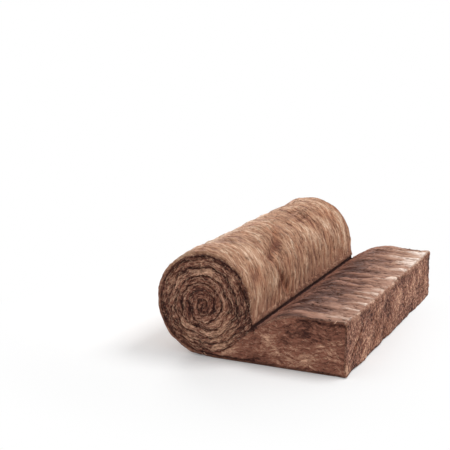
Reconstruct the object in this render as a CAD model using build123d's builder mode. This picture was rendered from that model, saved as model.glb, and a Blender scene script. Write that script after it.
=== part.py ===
from build123d import *
import math
import os

# A roll of glass mineral wool, partly unrolled on the floor.
# The whole thing is one batt of wool. It lies flat at its cut end, where it has
# swollen back to its full thickness, and the rest of it is still wound up tight.
#
# Frame: millimetres, +Z up, +Y along the roll. The origin is on the floor, in the
# middle of the box that holds the part. The roll is at -X and the cut end at +X.

# The batt: its width is the roll's length
batt_width = 1200.0
batt_thickness = 220.0
wound_thickness = 30.0

# The roll's height over the floor, and the loose stretch from its low point
roll_height = 426.0
free_length = 583.0

# The shoulder by which the batt swells out of the roll, and how far from the roll's side
# it runs level
shoulder_radius = 270.0
shoulder_reach = 185.0

# The roll's flank sags straight down onto the shoulder, from this angle over its middle
flank_angle = 5.0

# Soft edges
crease_round = 5.0
rim_round = 10.0
top_corner_round = 10.0
bottom_corner_round = 10.0

# Two dents in the roll's side, where its soft turns were pressed. The ends of each are
# given by two shares: of the way down from the roll's crest to its straight flank, and
# of the batt's width from its middle.
dent_ends = (((0.26, -0.06), (0.60, -0.28)), ((0.70, -0.26), (0.98, -0.17)))
dent_width = 58.0
dent_depth = 12.0
dent_round = 30.0

# The joint between the turns, as it shows on both ends of the roll, and the eye in
# the middle, where the batt's inner end is folded in
joint_depth = 9.0
joint_width = 9.0
eye_radius = 11.0
eye_floor_radius = 4.0
eye_depth = 14.0

# The winding is a spiral of half turns about two centres, half a wound thickness
# apart. Left half turns use the lower centre and right ones the upper, so that each
# turn lies against the last.
roll_radius = roll_height / 2
right_radius = roll_radius - wound_thickness / 2
lower_centre = roll_radius
upper_centre = roll_radius + wound_thickness / 2

# The roll's low point and the cut end, along X
overall_length = roll_radius + free_length
roll_x = roll_radius - overall_length / 2
cut_end_x = roll_x + free_length

# The shoulder is an arc that runs level into the top of the batt.
shoulder_x = roll_x + roll_radius + shoulder_reach
shoulder_centre_z = batt_thickness - shoulder_radius

# The flank is a line that touches the roll's right arc. Along it, its unit direction is
# (flank_x, -flank_z), and (flank_z, flank_x) points out of the roll.
flank_x = math.sin(math.radians(flank_angle))
flank_z = math.cos(math.radians(flank_angle))
flank_start = (roll_x + right_radius * flank_z, upper_centre + right_radius * flank_x)

# The crease ends in a small arc that touches both the flank and the shoulder. Its centre
# is a crease_round off the flank, and as far down as the shoulder allows.
start_x = flank_start[0] + crease_round * flank_z
start_z = flank_start[1] + crease_round * flank_x
across = (start_x - shoulder_x) * flank_z + (start_z - shoulder_centre_z) * flank_x
along = (shoulder_x - start_x) * flank_x - (shoulder_centre_z - start_z) * flank_z
down = along - math.sqrt((shoulder_radius + crease_round) ** 2 - across**2)
crease_x = start_x + down * flank_x
crease_z = start_z - down * flank_z
flank_end = (crease_x - crease_round * flank_z, crease_z - crease_round * flank_x)
crease_angle = math.degrees(math.atan2(crease_z - shoulder_centre_z, crease_x - shoulder_x))

# Under the crease the roll lies on the batt along a line that touches its right arc.
crease_distance = math.hypot(crease_x - roll_x, crease_z - upper_centre)
contact_length = math.sqrt(crease_distance**2 - right_radius**2)
crease_turn = math.atan2(crease_z - upper_centre, crease_x - roll_x)
contact_turn = crease_turn - math.acos(right_radius / crease_distance)
contact_angle = math.degrees(contact_turn)
contact_line = (math.sin(contact_turn), 0, -math.cos(contact_turn))

# A dent is cut by a barrel: its radius at the middle, and how far past the dent it runs
crest_turn = math.pi / 2
flank_turn = math.radians(flank_angle)
barrel_radius = (dent_depth**2 + dent_width**2 / 4) / (2 * dent_depth)
barrel_overrun = 1.2

# Half turns of the winding that show on an end, before the eye
half_turn_step = wound_thickness / 2
half_turns = int((roll_radius - eye_radius) / half_turn_step)
eye_z = (lower_centre + upper_centre) / 2

with BuildPart() as mineral_wool_roll:
    # The section goes round the outside of the roll, down its flank, round the crease,
    # over the shoulder, along the batt, down its cut end and back along the floor.
    with BuildSketch(Plane.XZ):
        with BuildLine():
            CenterArc((roll_x, lower_centre), roll_radius, 90, 180)
            CenterArc((roll_x, upper_centre), right_radius, flank_angle, 90 - flank_angle)
            Line(flank_start, flank_end)
            CenterArc((crease_x, crease_z), crease_round, 180 + flank_angle, crease_angle - flank_angle)
            CenterArc((shoulder_x, shoulder_centre_z), shoulder_radius, 90, crease_angle - 90)
            FilletPolyline(
                (shoulder_x, batt_thickness),
                (cut_end_x, batt_thickness),
                (cut_end_x, 0),
                (roll_x, 0),
                radius=(top_corner_round, bottom_corner_round),
            )
        make_face()
    extrude(amount=batt_width / 2, both=True)
    ends = faces().filter_by(Axis.Y).sort_by(Axis.Y)
    fillet(ends.edges(), rim_round)

    # The joint between the turns: a V-shaped groove that runs from the crease to the
    # roll's right arc and then follows the spiral inwards, a half turn at a time, on
    # each end of the roll.
    for end in (-1, 1):
        end_y = end * batt_width / 2
        with BuildSketch(Plane((crease_x, 0, crease_z), x_dir=(0, 1, 0), z_dir=contact_line)):
            with BuildLine():
                Polyline(
                    (end_y - end * joint_depth, 0),
                    (end_y, -joint_width / 2),
                    (end_y, joint_width / 2),
                    close=True,
                )
            make_face()
        extrude(amount=contact_length, mode=Mode.SUBTRACT)
        for number in range(1, half_turns + 1):
            radius = roll_radius - number * half_turn_step
            left = number % 2 == 0
            centre = lower_centre if left else upper_centre
            sweep_angle = 90 + contact_angle if number == 1 else 180
            with BuildSketch(Plane.YZ.offset(roll_x)):
                with BuildLine():
                    Polyline(
                        (end_y - end * joint_depth, centre - radius),
                        (end_y, centre - radius - joint_width / 2),
                        (end_y, centre - radius + joint_width / 2),
                        close=True,
                    )
                make_face()
            revolve(
                axis=Axis((roll_x, 0, centre), (0, 1 if left else -1, 0)),
                revolution_arc=sweep_angle,
                mode=Mode.SUBTRACT,
            )
        with BuildSketch(Plane.YZ.offset(roll_x)):
            with BuildLine():
                Polyline(
                    (end_y, eye_z),
                    (end_y, eye_z + eye_radius),
                    (end_y - end * eye_depth, eye_z + eye_floor_radius),
                    (end_y - end * eye_depth, eye_z),
                    close=True,
                )
            make_face()
        revolve(axis=Axis((roll_x, 0, eye_z), (0, 1, 0)), mode=Mode.SUBTRACT)

    # Each dent is cut by the inner half of a barrel that lies along it. The barrel's side
    # comes out of the roll's side at the dent's two ends, and the barrel runs on past them.
    for (start_down, start_along), (end_down, end_along) in dent_ends:
        start_turn = crest_turn + start_down * (flank_turn - crest_turn)
        end_turn = crest_turn + end_down * (flank_turn - crest_turn)
        start_y = start_along * batt_width
        end_y = end_along * batt_width
        middle_turn = (start_turn + end_turn) / 2
        sag = right_radius * (1 - math.cos((start_turn - end_turn) / 2))
        start = Vector(right_radius * math.cos(start_turn), start_y, right_radius * math.sin(start_turn))
        chord = Vector(right_radius * math.cos(end_turn), end_y, right_radius * math.sin(end_turn)) - start
        inward = Vector(-math.cos(middle_turn), 0, -math.sin(middle_turn))
        barrel_height = barrel_radius - dent_depth + sag
        middle = Vector(roll_x, 0, upper_centre) + start + chord / 2 - inward * barrel_height
        half_length = chord.length / 2 * barrel_overrun
        rim_radius = barrel_radius - (dent_depth - sag) * barrel_overrun**2
        with BuildSketch(Plane(middle, x_dir=chord, z_dir=inward)):
            with BuildLine():
                Polyline(
                    (-half_length, rim_radius),
                    (-half_length, 0),
                    (half_length, 0),
                    (half_length, rim_radius),
                )
                ThreePointArc((half_length, rim_radius), (0, barrel_radius), (-half_length, rim_radius))
            make_face()
        revolve(axis=Axis(middle, chord), revolution_arc=180, mode=Mode.SUBTRACT)
        fillet(edges(Select.NEW), dent_round)

mineral_wool_roll.part.label = "mineral_wool_roll"

os.makedirs("parts", exist_ok=True)
export_step(mineral_wool_roll.part, "parts/mineral_wool_roll.step")
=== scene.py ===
"""Dress a partly unrolled roll of glass mineral wool: its matted body, the loose fibres
that lie on it, and the pale studio that it lies in. Metres, in the part's own frame."""

import logging
import math
from dataclasses import dataclass, replace
from enum import Enum
from functools import reduce

import bpy
import numpy as np
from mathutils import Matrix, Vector
from mathutils.geometry import delaunay_2d_cdt

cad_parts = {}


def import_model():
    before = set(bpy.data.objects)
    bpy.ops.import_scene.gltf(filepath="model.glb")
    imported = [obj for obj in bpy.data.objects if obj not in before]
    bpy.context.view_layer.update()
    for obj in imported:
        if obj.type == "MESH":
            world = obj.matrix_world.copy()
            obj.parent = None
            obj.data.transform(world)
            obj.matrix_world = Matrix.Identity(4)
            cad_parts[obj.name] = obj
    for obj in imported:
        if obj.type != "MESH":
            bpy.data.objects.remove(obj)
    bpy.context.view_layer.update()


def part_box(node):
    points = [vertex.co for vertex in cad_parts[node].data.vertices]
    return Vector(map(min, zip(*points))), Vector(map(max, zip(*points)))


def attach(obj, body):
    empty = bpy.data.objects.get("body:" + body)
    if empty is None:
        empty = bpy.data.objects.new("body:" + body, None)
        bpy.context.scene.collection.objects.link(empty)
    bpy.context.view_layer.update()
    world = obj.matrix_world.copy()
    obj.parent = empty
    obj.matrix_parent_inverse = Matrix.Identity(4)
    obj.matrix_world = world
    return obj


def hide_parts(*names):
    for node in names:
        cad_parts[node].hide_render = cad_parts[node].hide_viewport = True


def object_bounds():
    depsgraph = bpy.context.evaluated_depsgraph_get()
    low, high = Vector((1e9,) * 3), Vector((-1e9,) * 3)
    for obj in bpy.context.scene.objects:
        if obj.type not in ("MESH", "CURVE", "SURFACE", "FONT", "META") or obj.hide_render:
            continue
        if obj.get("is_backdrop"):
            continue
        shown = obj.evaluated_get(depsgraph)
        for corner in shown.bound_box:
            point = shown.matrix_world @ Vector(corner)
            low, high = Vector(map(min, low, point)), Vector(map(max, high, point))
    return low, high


LOG = logging.getLogger("insulation_roll")
NODE = "mineral_wool_roll"
X, Y, Z = range(3)
FLOOR = (-10.0, -10.0, 0.0)
WHITE = (1.0, 1.0, 1.0, 1.0)

Array = np.ndarray
Mesh = bpy.types.Mesh
Object = bpy.types.Object
Material = bpy.types.Material
Tree = bpy.types.NodeTree
Node = bpy.types.Node
Socket = bpy.types.NodeSocket
Feed = Socket | float | int | bool | str | tuple
Triple = tuple[float, float, float]
Triangle = tuple[int, int, int]


def smoothstep(values: Array, start: float, end: float) -> Array:
    """Give 0 before start, 1 past end, and a smooth rise between."""
    share = np.clip((values - start) / (end - start), 0.0, 1.0)
    return share * share * (3.0 - 2.0 * share)


def bell(gaps: Array, width: float) -> Array:
    """Give 1 at no gap, and a smooth fall to nothing within about two widths."""
    return np.exp(-((gaps / width) ** 2))


def in_space(pairs: Array, y: Array) -> Array:
    """Put pairs along X and Z into space, at places along Y."""
    return np.column_stack([pairs[:, 0], y, pairs[:, 1]])


@dataclass(frozen=True)
class Ease:
    """A smooth change from low, at and before start, to high, at and past end."""

    start: float
    end: float
    low: float = 0.0
    high: float = 1.0

    def at(self, places: Array) -> Array:
        """Give its value at each place."""
        return self.low + (self.high - self.low) * smoothstep(places, self.start, self.end)


class Zone(Enum):
    """The kinds of surface that the wool shows."""

    ROLL = "roll"
    CREASE = "crease"
    BATT = "batt"
    CUT = "cut"
    UNDERSIDE = "underside"
    END = "end"


@dataclass(frozen=True)
class Nap:
    """How the wool lies on one kind of surface.

    The first six are shares of the full effect: skin is how closed and pale the face is,
    loft its lumps, ripples its broad waves, folds its narrow creases, streaks its combed
    marks and crumbs its tufts. Speckle is how far its fibres' tones lie apart, and
    fineness how many times its marks are made smaller. Scatter is how far its fibres
    stray from the grain and slant how far the grain leans towards the near end, both in
    radians. Rim is the radius of its edge at the roll's ends, in metres.
    """

    skin: float = 0.0
    loft: float = 0.0
    ripples: float = 0.0
    folds: float = 0.0
    streaks: float = 0.0
    crumbs: float = 0.0
    speckle: float = 0.4
    fineness: float = 1.0
    scatter: float = 0.30
    slant: float = 0.0
    rim: float = 0.0


NAPS: dict[Zone, Nap] = {
    Zone.ROLL: Nap(
        skin=1.0, loft=1.0, ripples=0.25, folds=0.4, streaks=0.8, speckle=0.9,
        fineness=1.5, scatter=0.22, slant=0.3, rim=0.012,
    ),
    Zone.CREASE: Nap(loft=0.1, streaks=0.3, slant=0.1, rim=0.004),
    Zone.BATT: Nap(
        skin=1.0, loft=0.6, ripples=1.0, folds=0.9, streaks=0.2, speckle=0.3,
        fineness=1.4, scatter=0.10, rim=0.006,
    ),
    Zone.CUT: Nap(
        loft=0.9, folds=0.2, streaks=0.4, crumbs=0.7, speckle=1.2,
        fineness=2.0, scatter=0.80, rim=0.006,
    ),
    Zone.UNDERSIDE: Nap(skin=0.7, rim=0.007),
    Zone.END: Nap(loft=0.4, folds=0.8, streaks=0.9, crumbs=0.45, speckle=2.2, fineness=2.2, scatter=0.40),
}
BATT_EDGE = replace(NAPS[Zone.END], folds=0.48, streaks=0.54, crumbs=0.1575, speckle=0.704, fineness=3.2)
CARRIED = ("skin", "loft", "ripples", "folds", "streaks", "crumbs", "speckle", "fineness", "scatter")


@dataclass(frozen=True)
class Marks:
    """One kind of mark: its size along the grain and across it, in metres, how finely its
    noise is layered, and the lane in which it is read, so that two kinds differ."""

    along: float
    across: float
    detail: float
    lane: float = 0.0


STREAKS = Marks(along=0.150, across=0.034, detail=2.0, lane=17.0)
STRANDS = Marks(along=0.050, across=0.008, detail=2.0, lane=2.0)
FOLDS = Marks(along=0.120, across=0.036, detail=1.5, lane=5.0)
RIPPLES = Marks(along=0.480, across=0.095, detail=2.0)
CRUMBS = Marks(along=0.012, across=0.012, detail=2.5)


@dataclass(frozen=True)
class Stray:
    """A wandering of places: its waves to the metre, how finely they are layered, and how
    far they reach."""

    scale: float
    detail: float
    reach: Triple


DRIFT = Stray(scale=14.0, detail=1.0, reach=(0.03, 0.03, 0.0))
WANDER = Stray(scale=13.0, detail=2.0, reach=(2.0, 0.0, 2.0))


class NodeWriter:
    """Writes a node tree as a formula: a call adds a node and gives its output."""

    def __init__(self, tree: Tree) -> None:
        """Take the tree to write in."""
        self.tree = tree

    @classmethod
    def group(
        cls, name: str, kind: str, inputs: dict[str, float | int | str]
    ) -> tuple["NodeWriter", dict[str, Socket]]:
        """Start a node group.

        Args:
            name: Its name.
            kind: Geometry or Shader.
            inputs: For each named input its first number, or the kind of its socket.

        Returns:
            The group's writer, and the sockets that its inputs feed.
        """
        tree = bpy.data.node_groups.new(name, f"{kind}NodeTree")
        for title, start in inputs.items():
            sort = start if isinstance(start, str) else type(start).__name__.capitalize()
            socket = tree.interface.new_socket(title, in_out="INPUT", socket_type=f"NodeSocket{sort}")
            if not isinstance(start, str):
                socket.default_value = start
        outputs = tree.nodes.new("NodeGroupInput").outputs
        return cls(tree), {title: outputs[title] for title in inputs}

    def close(self, name: str, kind: str, feed: Socket) -> Tree:
        """Give a node group its one output.

        Args:
            name: The output's name.
            kind: The kind of its socket.
            feed: What feeds it.

        Returns:
            The group.
        """
        self.tree.interface.new_socket(name, in_out="OUTPUT", socket_type=f"NodeSocket{kind}")
        self.tree.links.new(feed, self.tree.nodes.new("NodeGroupOutput").inputs[name])
        return self.tree

    def wire(self, node: Node, feeds: dict[str | int, Feed]) -> Node:
        """Feed a node.

        Args:
            node: The node.
            feeds: Values or sockets for its inputs, by name or place.

        Returns:
            The same node.
        """
        for key, feed in feeds.items():
            if isinstance(feed, Socket):
                self.tree.links.new(feed, node.inputs[key])
            else:
                node.inputs[key].default_value = feed
        return node

    def node(self, kind: str, feeds: dict[str | int, Feed], **settings: str | Tree) -> Node:
        """Add one node.

        Args:
            kind: The node's type.
            feeds: Values or sockets for its inputs, by name or place.
            settings: Its options.

        Returns:
            The new node.
        """
        node = self.tree.nodes.new(kind)
        for option, choice in settings.items():
            setattr(node, option, choice)
        return self.wire(node, feeds)

    def math(self, operation: str, *terms: Feed) -> Socket:
        """Work out one operation on up to three numbers."""
        return self.node("ShaderNodeMath", dict(enumerate(terms)), operation=operation).outputs[0]

    def total(self, *terms: Feed) -> Socket:
        """Add up numbers."""
        return reduce(lambda whole, term: self.math("ADD", whole, term), terms)

    def product(self, *terms: Feed) -> Socket:
        """Multiply numbers."""
        return reduce(lambda whole, term: self.math("MULTIPLY", whole, term), terms)

    def vector(self, operation: str, *terms: Feed) -> Socket:
        """Work out one operation on vectors, with the factor last where it is SCALE."""
        keys = (0, "Scale" if operation == "SCALE" else 1)
        return self.node("ShaderNodeVectorMath", dict(zip(keys, terms)), operation=operation).outputs[0]

    def combine(self, x: Feed, y: Feed, z: Feed) -> Socket:
        """Join three numbers into a vector."""
        return self.node("ShaderNodeCombineXYZ", {0: x, 1: y, 2: z}).outputs[0]

    def ramp(self, number: Feed, start: Feed, end: Feed, low: Feed, high: Feed) -> Socket:
        """Map a number smoothly from the range start to end onto low to high."""
        feeds = {"Value": number, "From Min": start, "From Max": end, "To Min": low, "To Max": high}
        return self.node("ShaderNodeMapRange", feeds, interpolation_type="SMOOTHSTEP").outputs["Result"]

    def eased(self, number: Feed, ease: Ease) -> Socket:
        """Map a number by an ease."""
        return self.ramp(number, ease.start, ease.end, ease.low, ease.high)

    def noise(self, vector: Feed, detail: float, colour: bool = False) -> Socket:
        """Add a noise texture of scale 1 on a vector: one number, or three, from 0 to 1."""
        feeds = {"Vector": vector, "Scale": 1.0, "Detail": detail, "Roughness": 0.55}
        return self.node("ShaderNodeTexNoise", feeds).outputs[int(colour)]

    def signed(self, vector: Feed, detail: float) -> Socket:
        """Add a noise texture that runs from about -1 to 1."""
        return self.math("MULTIPLY_ADD", self.noise(vector, detail), 2.0, -1.0)

    def drawn(self, vector: Feed, marks: Marks) -> Socket:
        """Add noise from about -1 to 1 that is drawn out along the grain."""
        scaled = self.vector("MULTIPLY", vector, (1.0 / marks.along, 1.0 / marks.across, 1.0))
        return self.signed(self.vector("ADD", scaled, (marks.lane,) * 3), marks.detail)

    def strayed(self, vector: Feed, stray: Stray) -> Socket:
        """Add a wandering vector, by up to half of its reach to each side."""
        noise = self.noise(self.vector("SCALE", vector, stray.scale), stray.detail, colour=True)
        return self.vector("MULTIPLY", self.vector("SUBTRACT", noise, (0.5, 0.5, 0.5)), stray.reach)

    def mix(self, share: Feed, first: Feed, second: Feed) -> Socket:
        """Mix two colours by the second one's share."""
        return self.node("ShaderNodeMix", {0: share, 6: first, 7: second}, data_type="RGBA").outputs[2]

    def blend(self, share: Feed, first: Feed, second: Feed) -> Socket:
        """Mix two numbers by the second one's share."""
        return self.node("ShaderNodeMix", {0: share, 2: first, 3: second}, data_type="FLOAT").outputs[0]

    def carried(self, name: Feed, kind: str = "FLOAT") -> Socket:
        """Read, in a geometry tree, a value that the surface carries."""
        return self.node("GeometryNodeInputNamedAttribute", {"Name": name}, data_type=kind).outputs[0]

    def store(self, geometry: Feed, name: str, value: Feed, kind: str = "FLOAT") -> Socket:
        """Store, in a geometry tree, a value at each point."""
        feeds = {"Geometry": geometry, "Name": name, "Value": value}
        return self.node("GeometryNodeStoreNamedAttribute", feeds, data_type=kind).outputs[0]

    def painted(self, name: str, output: str = "Fac") -> Socket:
        """Read, in a material, a number or vector that the surface carries."""
        return self.node("ShaderNodeAttribute", {}, attribute_name=name).outputs[output]


def run_tree(host: Object, tree: Tree, values: dict[str, Feed]) -> Mesh:
    """Run a geometry tree on an object.

    Args:
        host: The object that the tree works on. It is removed afterwards.
        tree: The geometry tree.
        values: The tree's inputs, by name.

    Returns:
        The resulting mesh.
    """
    modifier = host.modifiers.new("rule", "NODES")
    modifier.node_group = tree
    for item in tree.interface.items_tree:
        if item.name in values:
            modifier[item.identifier] = values[item.name]
    graph = bpy.context.evaluated_depsgraph_get()
    shaped = host.evaluated_get(graph)
    mesh = bpy.data.meshes.new_from_object(shaped, preserve_all_data_layers=True, depsgraph=graph)
    host.modifiers.remove(modifier)
    bpy.data.objects.remove(host)
    return mesh


def place(name: str, mesh: Mesh) -> Object:
    """Put a mesh in the scene, at the origin, as an object with this name."""
    piece = bpy.data.objects.new(name, mesh)
    bpy.context.scene.collection.objects.link(piece)
    return piece


@dataclass(frozen=True)
class Furrow:
    """A dent that runs along a line of points, or with a negative depth a ridge.

    Width and depth are in metres, and shade is how far it darkens and warms the wool: painted
    shade in the dent, and, where negative, a painted highlight on the ridge.
    """

    points: tuple[Triple, ...]
    width: float
    depth: float
    shade: float

    def share(self, places: Array) -> Array:
        """Give how much of the furrow reaches each place.

        Args:
            places: The places, in three columns.

        Returns:
            Shares from 0 to 1.
        """
        nearest = np.full(len(places), np.inf)
        for start, end in zip(self.points, self.points[1:]):
            base = np.asarray(start)
            span = np.subtract(end, start)
            share = np.clip((places - base) @ span / (span @ span), 0.0, 1.0)
            gap = np.linalg.norm(places - base - share[:, None] * span, axis=1)
            nearest = np.minimum(nearest, gap)
        return bell(nearest, self.width)


@dataclass(frozen=True)
class Puff:
    """A soft swelling of the wool round one place, with its size and height in metres."""

    place: Triple
    size: float
    height: float

    def share(self, places: Array) -> Array:
        """Give how much of the swelling reaches each place."""
        return bell(np.linalg.norm(places - np.asarray(self.place), axis=1), self.size)


FURROWS: dict[str, Furrow] = {
    "upper dent": Furrow(
        ((-0.100, -0.095, 0.407), (-0.067, -0.151, 0.387), (-0.044, -0.241, 0.367), (-0.031, -0.315, 0.352)),
        width=0.021,
        depth=0.016,
        shade=1.0,
    ),
    "lower dent": Furrow(
        ((-0.003, -0.286, 0.306), (0.007, -0.277, 0.276), (0.013, -0.246, 0.226), (0.004, -0.200, 0.170)),
        width=0.020,
        depth=0.012,
        shade=1.0,
    ),
    "batt wrinkle": Furrow(
        ((0.178, 0.006, 0.220), (0.245, 0.020, 0.220), (0.326, 0.040, 0.220), (0.387, 0.086, 0.220)),
        width=0.012,
        depth=0.014,
        shade=1.8,
    ),
    # A painted highlight along the ridge in front of the wrinkle
    "ridge by the wrinkle": Furrow(
        ((0.245, -0.008, 0.220), (0.326, 0.012, 0.220), (0.392, 0.056, 0.220)),
        width=0.010,
        depth=-0.003,
        shade=-0.7,
    ),
    "far crest streak": Furrow(((-0.160, 0.231, 0.424), (-0.152, 0.337, 0.423)), 0.012, 0.006, 0.6),
    "near crest streak": Furrow(((-0.096, 0.129, 0.405), (-0.095, 0.315, 0.404)), 0.012, 0.006, 0.6),
    "cut fissure": Furrow(
        ((0.398, -0.421, 0.138), (0.398, -0.468, 0.104), (0.398, -0.537, 0.062)),
        width=0.008,
        depth=0.010,
        shade=1.2,
    ),
    # Painted shadow under the batt's top edge, over a shallow dent
    "line under the near edge": Furrow(
        ((0.200, -0.600, 0.198), (0.290, -0.600, 0.200), (0.386, -0.600, 0.196)),
        width=0.010,
        depth=0.006,
        shade=0.7,
    ),
}
PUFFS: tuple[Puff, ...] = (
    Puff((-0.230, -0.560, 0.420), size=0.085, height=0.008),
    Puff((-0.130, -0.440, 0.415), size=0.110, height=0.008),
    Puff((-0.040, -0.420, 0.350), size=0.100, height=0.009),
    Puff((-0.060, -0.080, 0.380), size=0.100, height=0.007),
    Puff((0.300, 0.000, 0.220), size=0.060, height=0.009),
)


@dataclass
class Walk:
    """A walk round the section: a place, heading, length and zone for each station."""

    place: Array
    heading: Array
    length: Array
    zone: list[Zone]

    def outward(self) -> Array:
        """Give each station's outward normal."""
        return np.column_stack([-self.heading[:, 1], self.heading[:, 0]])

    def shares(self, name: str) -> Array:
        """Give one of the nap's numbers at each station, eased from zone to zone."""
        raw = np.array([getattr(NAPS[zone], name) for zone in self.zone])
        return sum(np.roll(raw, shift) for shift in range(-2, 3)) / 5

    def distance(self, zone: Zone) -> Array:
        """Give each station's distance from a zone, along the section."""
        lengths = self.length[[own is zone for own in self.zone]]
        return np.maximum(np.maximum(lengths.min() - self.length, self.length - lengths.max()), 0.0)


@dataclass
class WoolSection:
    """The section of the roll and its unrolled batt, with sizes in metres, angles in
    degrees, and the steps in which each stretch of it is walked."""

    height: float
    left: float
    right: float
    batt_thickness: float = 0.220
    wound_thickness: float = 0.030
    shoulder_radius: float = 0.270
    shoulder_reach: float = 0.185
    flank_angle: float = 5.0
    crease_round: float = 0.005
    corner_round: float = 0.010
    eye_shift: tuple[float, float] = (-0.014, -0.016)
    settled_margin: float = 0.012
    widest_sag: float = 80.0
    roll_step: float = 0.0115
    crease_step: float = 0.002
    shoulder_step: float = 0.0085
    corner_step: float = 0.003
    cut_step: float = 0.006
    underside_step: float = 0.030

    def __post_init__(self) -> None:
        """Work out the centres and the crease, as the part's own source does."""
        self.radius = self.height / 2
        self.right_radius = self.radius - self.wound_thickness / 2
        self.lower = self.radius
        self.upper = self.radius + self.wound_thickness / 2
        self.roll_x = self.left + self.radius
        self.eye = np.array([self.roll_x, (self.lower + self.upper) / 2])
        shoulder_x = self.left + self.height + self.shoulder_reach
        self.shoulder = np.array([shoulder_x, self.batt_thickness - self.shoulder_radius])
        middle = np.array([self.roll_x, self.upper])
        turn = math.radians(self.flank_angle)
        self.flank_out = np.array([math.cos(turn), math.sin(turn)])
        self.flank_down = np.array([math.sin(turn), -math.cos(turn)])
        self.flank_start = middle + self.right_radius * self.flank_out
        start = self.flank_start + self.crease_round * self.flank_out - self.shoulder
        reach = self.shoulder_radius + self.crease_round
        down = -(start @ self.flank_down) - math.sqrt(reach**2 - (start @ self.flank_out) ** 2)
        self.crease = self.shoulder + start + down * self.flank_down
        self.crease_angle = math.degrees(math.atan2(*(self.crease - self.shoulder)[::-1]))
        arm = self.crease - middle
        self.notch_angle = math.degrees(math.atan2(arm[1], arm[0]))
        opening = math.degrees(math.acos(self.right_radius / math.hypot(*arm)))
        self.contact_angle = self.notch_angle - opening

    @staticmethod
    def arc(centre: Array, radius: float, angles: tuple[float, float], step: float) -> tuple[Array, Array]:
        """Walk an arc.

        Args:
            centre: Its centre, along X and Z.
            radius: Its radius.
            angles: The angles where it starts and ends.
            step: The walk's step.

        Returns:
            The places and headings, without the arc's end.
        """
        start, end = angles
        count = max(2, round(abs(math.radians(end - start)) * radius / step))
        turns = np.radians(np.linspace(start, end, count, endpoint=False))
        side = math.copysign(1.0, end - start)
        spokes = np.column_stack([np.cos(turns), np.sin(turns)])
        return centre + radius * spokes, side * np.column_stack([-spokes[:, 1], spokes[:, 0]])

    @staticmethod
    def line(start: Array, end: Array, step: float) -> tuple[Array, Array]:
        """Walk a straight line.

        Args:
            start: Where it starts, along X and Z.
            end: Where it ends.
            step: The walk's step.

        Returns:
            The places and headings, without the line's end.
        """
        span = np.subtract(end, start)
        size = float(np.hypot(*span))
        shares = np.linspace(0.0, 1.0, max(1, round(size / step)), endpoint=False)
        return np.asarray(start) + shares[:, None] * span, np.tile(span / size, (len(shares), 1))

    def walk(self) -> Walk:
        """Walk round the section, from the roll's low point up its left side.

        Returns:
            The walk, clockwise as seen from the near end.
        """
        bend, thick, cut = self.corner_round, self.batt_thickness, self.right
        low, high = np.array([self.roll_x, self.lower]), np.array([self.roll_x, self.upper])
        top_corner, low_corner = np.array([cut - bend, thick - bend]), np.array([cut - bend, bend])
        flank_end = self.crease - self.crease_round * self.flank_out
        hollow = (180 + self.flank_angle, 180 + self.crease_angle)
        swell = (self.crease_angle, 90)
        legs = [
            (Zone.ROLL, self.arc(low, self.radius, (-90, -270), self.roll_step)),
            (Zone.ROLL, self.arc(high, self.right_radius, (90, self.flank_angle), self.roll_step)),
            (Zone.ROLL, self.line(self.flank_start, flank_end, self.roll_step)),
            (Zone.CREASE, self.arc(self.crease, self.crease_round, hollow, self.crease_step)),
            (Zone.BATT, self.arc(self.shoulder, self.shoulder_radius, swell, self.shoulder_step)),
            (Zone.BATT, self.line((self.shoulder[0], thick), (cut - bend, thick), self.shoulder_step)),
            (Zone.BATT, self.arc(top_corner, bend, (90, 20), self.corner_step)),
            (Zone.CUT, self.line((cut, thick - 1.2 * bend), (cut, bend), self.cut_step)),
            (Zone.CUT, self.arc(low_corner, bend, (0, -90), self.cut_step)),
            (Zone.UNDERSIDE, self.line((cut - bend, 0.0), (self.roll_x, 0.0), self.underside_step)),
        ]
        places = np.vstack([leg[0] for _, leg in legs])
        headings = np.vstack([leg[1] for _, leg in legs])
        zones = [zone for zone, leg in legs for _ in range(len(leg[0]))]
        steps = np.hypot(*(np.roll(places, -1, axis=0) - places).T)
        return Walk(places, headings, np.concatenate([[0.0], np.cumsum(steps)[:-1]]), zones)

    def sag(self, angle: Array) -> Array:
        """Give how far the roll's right half hangs outside its arc, by the crease.

        Args:
            angle: The angle at the right half's centre.

        Returns:
            The distance outwards: to the flank above the crease, and to the line where
            the roll lies on the batt below it.
        """
        flank = np.cos(np.radians(np.clip(angle - self.flank_angle, -self.widest_sag, 0.0)))
        contact = np.cos(np.radians(np.clip(angle - self.contact_angle, 0.0, self.widest_sag)))
        return self.right_radius * (1 / np.maximum(flank, contact) - 1)

    def wind(self, points: Array) -> Array:
        """Move points of the perfect winding to where the sagging roll has them.

        Args:
            points: The points, along X and Z.

        Returns:
            The points in the roll.
        """
        arm = points - np.array([self.roll_x, self.upper])
        reach = np.maximum(np.hypot(*arm.T), 1e-5)
        angle = np.degrees(np.arctan2(arm[:, 1], arm[:, 0]))
        out = np.where(arm[:, 0] > 0, self.sag(angle) * (reach / self.right_radius) ** 3, 0.0)
        return points + arm / reach[:, None] * out[:, None]

    def unwind(self, reach: Array, angle: Array) -> Array:
        """Undo the sag of the roll's right half.

        Args:
            reach: Distances from the right half's centre.
            angle: Angles there.

        Returns:
            The distances in the perfect winding.
        """
        perfect = reach
        for _ in range(8):
            perfect = reach - self.sag(angle) * np.minimum(perfect / self.right_radius, 1.0) ** 3
        return perfect

    def settle(self, flat: Array) -> Array:
        """Give how the winding's middle has sunk.

        Args:
            flat: Points of an end face, along X and Z.

        Returns:
            Each point's shift, along X and Z.
        """
        settled = self.right_radius - self.settled_margin
        share = np.clip(1 - (np.hypot(*(flat - self.eye).T) / settled) ** 2, 0.0, 1.0)
        return share[:, None] * np.array(self.eye_shift)

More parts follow.
